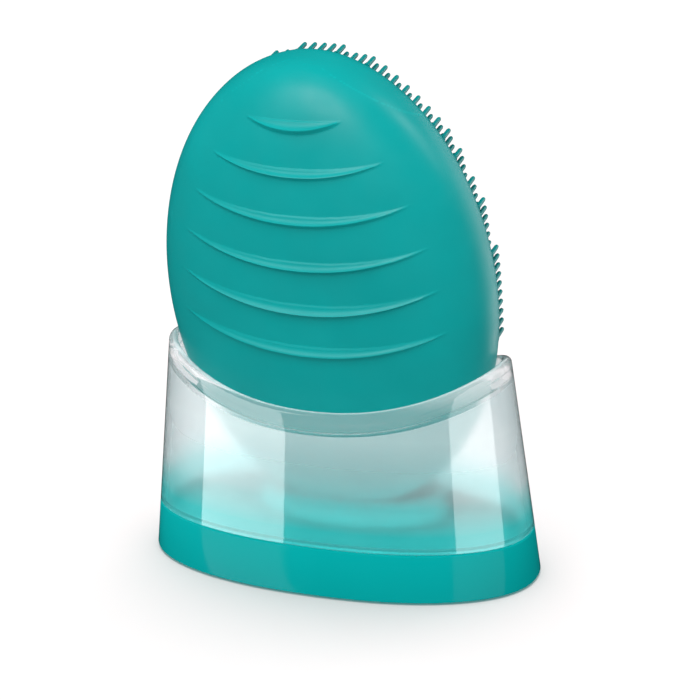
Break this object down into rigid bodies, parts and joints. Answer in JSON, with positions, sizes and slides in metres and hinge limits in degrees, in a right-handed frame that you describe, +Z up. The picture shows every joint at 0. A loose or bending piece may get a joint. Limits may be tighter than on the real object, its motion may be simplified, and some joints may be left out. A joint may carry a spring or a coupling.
{
  "type": "facial cleansing brush",
  "caption": "Egg-shaped silicone facial cleansing brush with finger ridges and soft bristles, standing in a frosted see-through stand with a glossy base.",
  "frame": {"origin": "on the table, under the middle of the stand", "axes": "+Z up; X along the stand's width; -Y the grip side with the finger ridges, +Y the bristle side"},
  "size_m": [0.092, 0.046, 0.1217],
  "materials": {
    "teal_silicone": "soft matte",
    "teal_gloss": "polished",
    "frosted_clear": "frosted inside, polished outside",
    "white_abs": "satin",
    "gasket_grey": "matte",
    "foot_grey": "matte",
    "board_green": "solder mask",
    "black_plastic": "satin",
    "steel": "satin",
    "brass": "turned",
    "cell_silver": "foil laminate",
    "foam_black": "open foam",
    "red_wire": "satin",
    "black_wire": "satin",
    "light_guide": "clear"
  },
  "bodies": {
    "stand": {"stand_tray": "teal_gloss", "stand_shell": "frosted_clear", "stand_base_plate": "teal_gloss", "stand_foot_1": "foot_grey", "stand_foot_2": "foot_grey", "stand_foot_3": "foot_grey", "stand_foot_4": "foot_grey", "rest_pad": "teal_silicone"},
    "brush": {"grip_skin": "teal_silicone", "bristle_skin": "teal_silicone", "bristle_field": "teal_silicone", "core_grip_half": "white_abs", "core_bristle_half": "white_abs", "housing_gasket": "gasket_grey", "housing_screw_1": "steel", "housing_screw_2": "steel", "housing_screw_3": "steel", "housing_screw_4": "steel", "power_switch": "black_plastic", "minus_switch": "black_plastic", "plus_switch": "black_plastic", "status_light_guide": "light_guide", "status_lamp": "light_guide", "circuit_board": "board_green", "board_screw_1": "steel", "board_screw_2": "steel", "controller_chip": "black_plastic", "battery_header": "white_abs", "battery_plug": "white_abs", "charging_jack": "black_plastic", "charging_pin": "brass", "battery_cell": "cell_silver", "battery_foam_pad": "foam_black", "battery_lead_red": "red_wire", "battery_lead_black": "black_wire", "motor_can": "steel", "motor_end_cap": "black_plastic", "motor_boot": "gasket_grey", "motor_lead_red": "red_wire", "motor_lead_black": "black_wire"},
    "rotor": {"motor_shaft": "steel", "eccentric_weight": "brass"},
    "power_button": {"power_button": "teal_silicone"},
    "minus_button": {"minus_button": "teal_silicone"},
    "plus_button": {"plus_button": "teal_silicone"}
  },
  "joints": [
    {"name": "brush_lift", "type": "slide", "parent": "stand", "child": "brush", "axis": [0, -0.1426, 0.9898], "range_m": [0, 0.06]},
    {"name": "power_press", "type": "slide", "parent": "brush", "child": "power_button", "axis": [0, -0.9898, -0.1426], "range_m": [0, 0.0006], "stiffness_N_per_m": 1500, "springref_m": -0.0003},
    {"name": "minus_press", "type": "slide", "parent": "brush", "child": "minus_button", "axis": [0, -0.9898, -0.1426], "range_m": [0, 0.0006], "stiffness_N_per_m": 1500, "springref_m": -0.0003},
    {"name": "plus_press", "type": "slide", "parent": "brush", "child": "plus_button", "axis": [0, -0.9898, -0.1426], "range_m": [0, 0.0006], "stiffness_N_per_m": 1500, "springref_m": -0.0003},
    {"name": "motor_spin", "type": "hinge", "parent": "brush", "child": "rotor", "pos_m": [0, -0.00833, 0.09934], "axis": [1, 0, 0], "continuous": true}
  ]
}
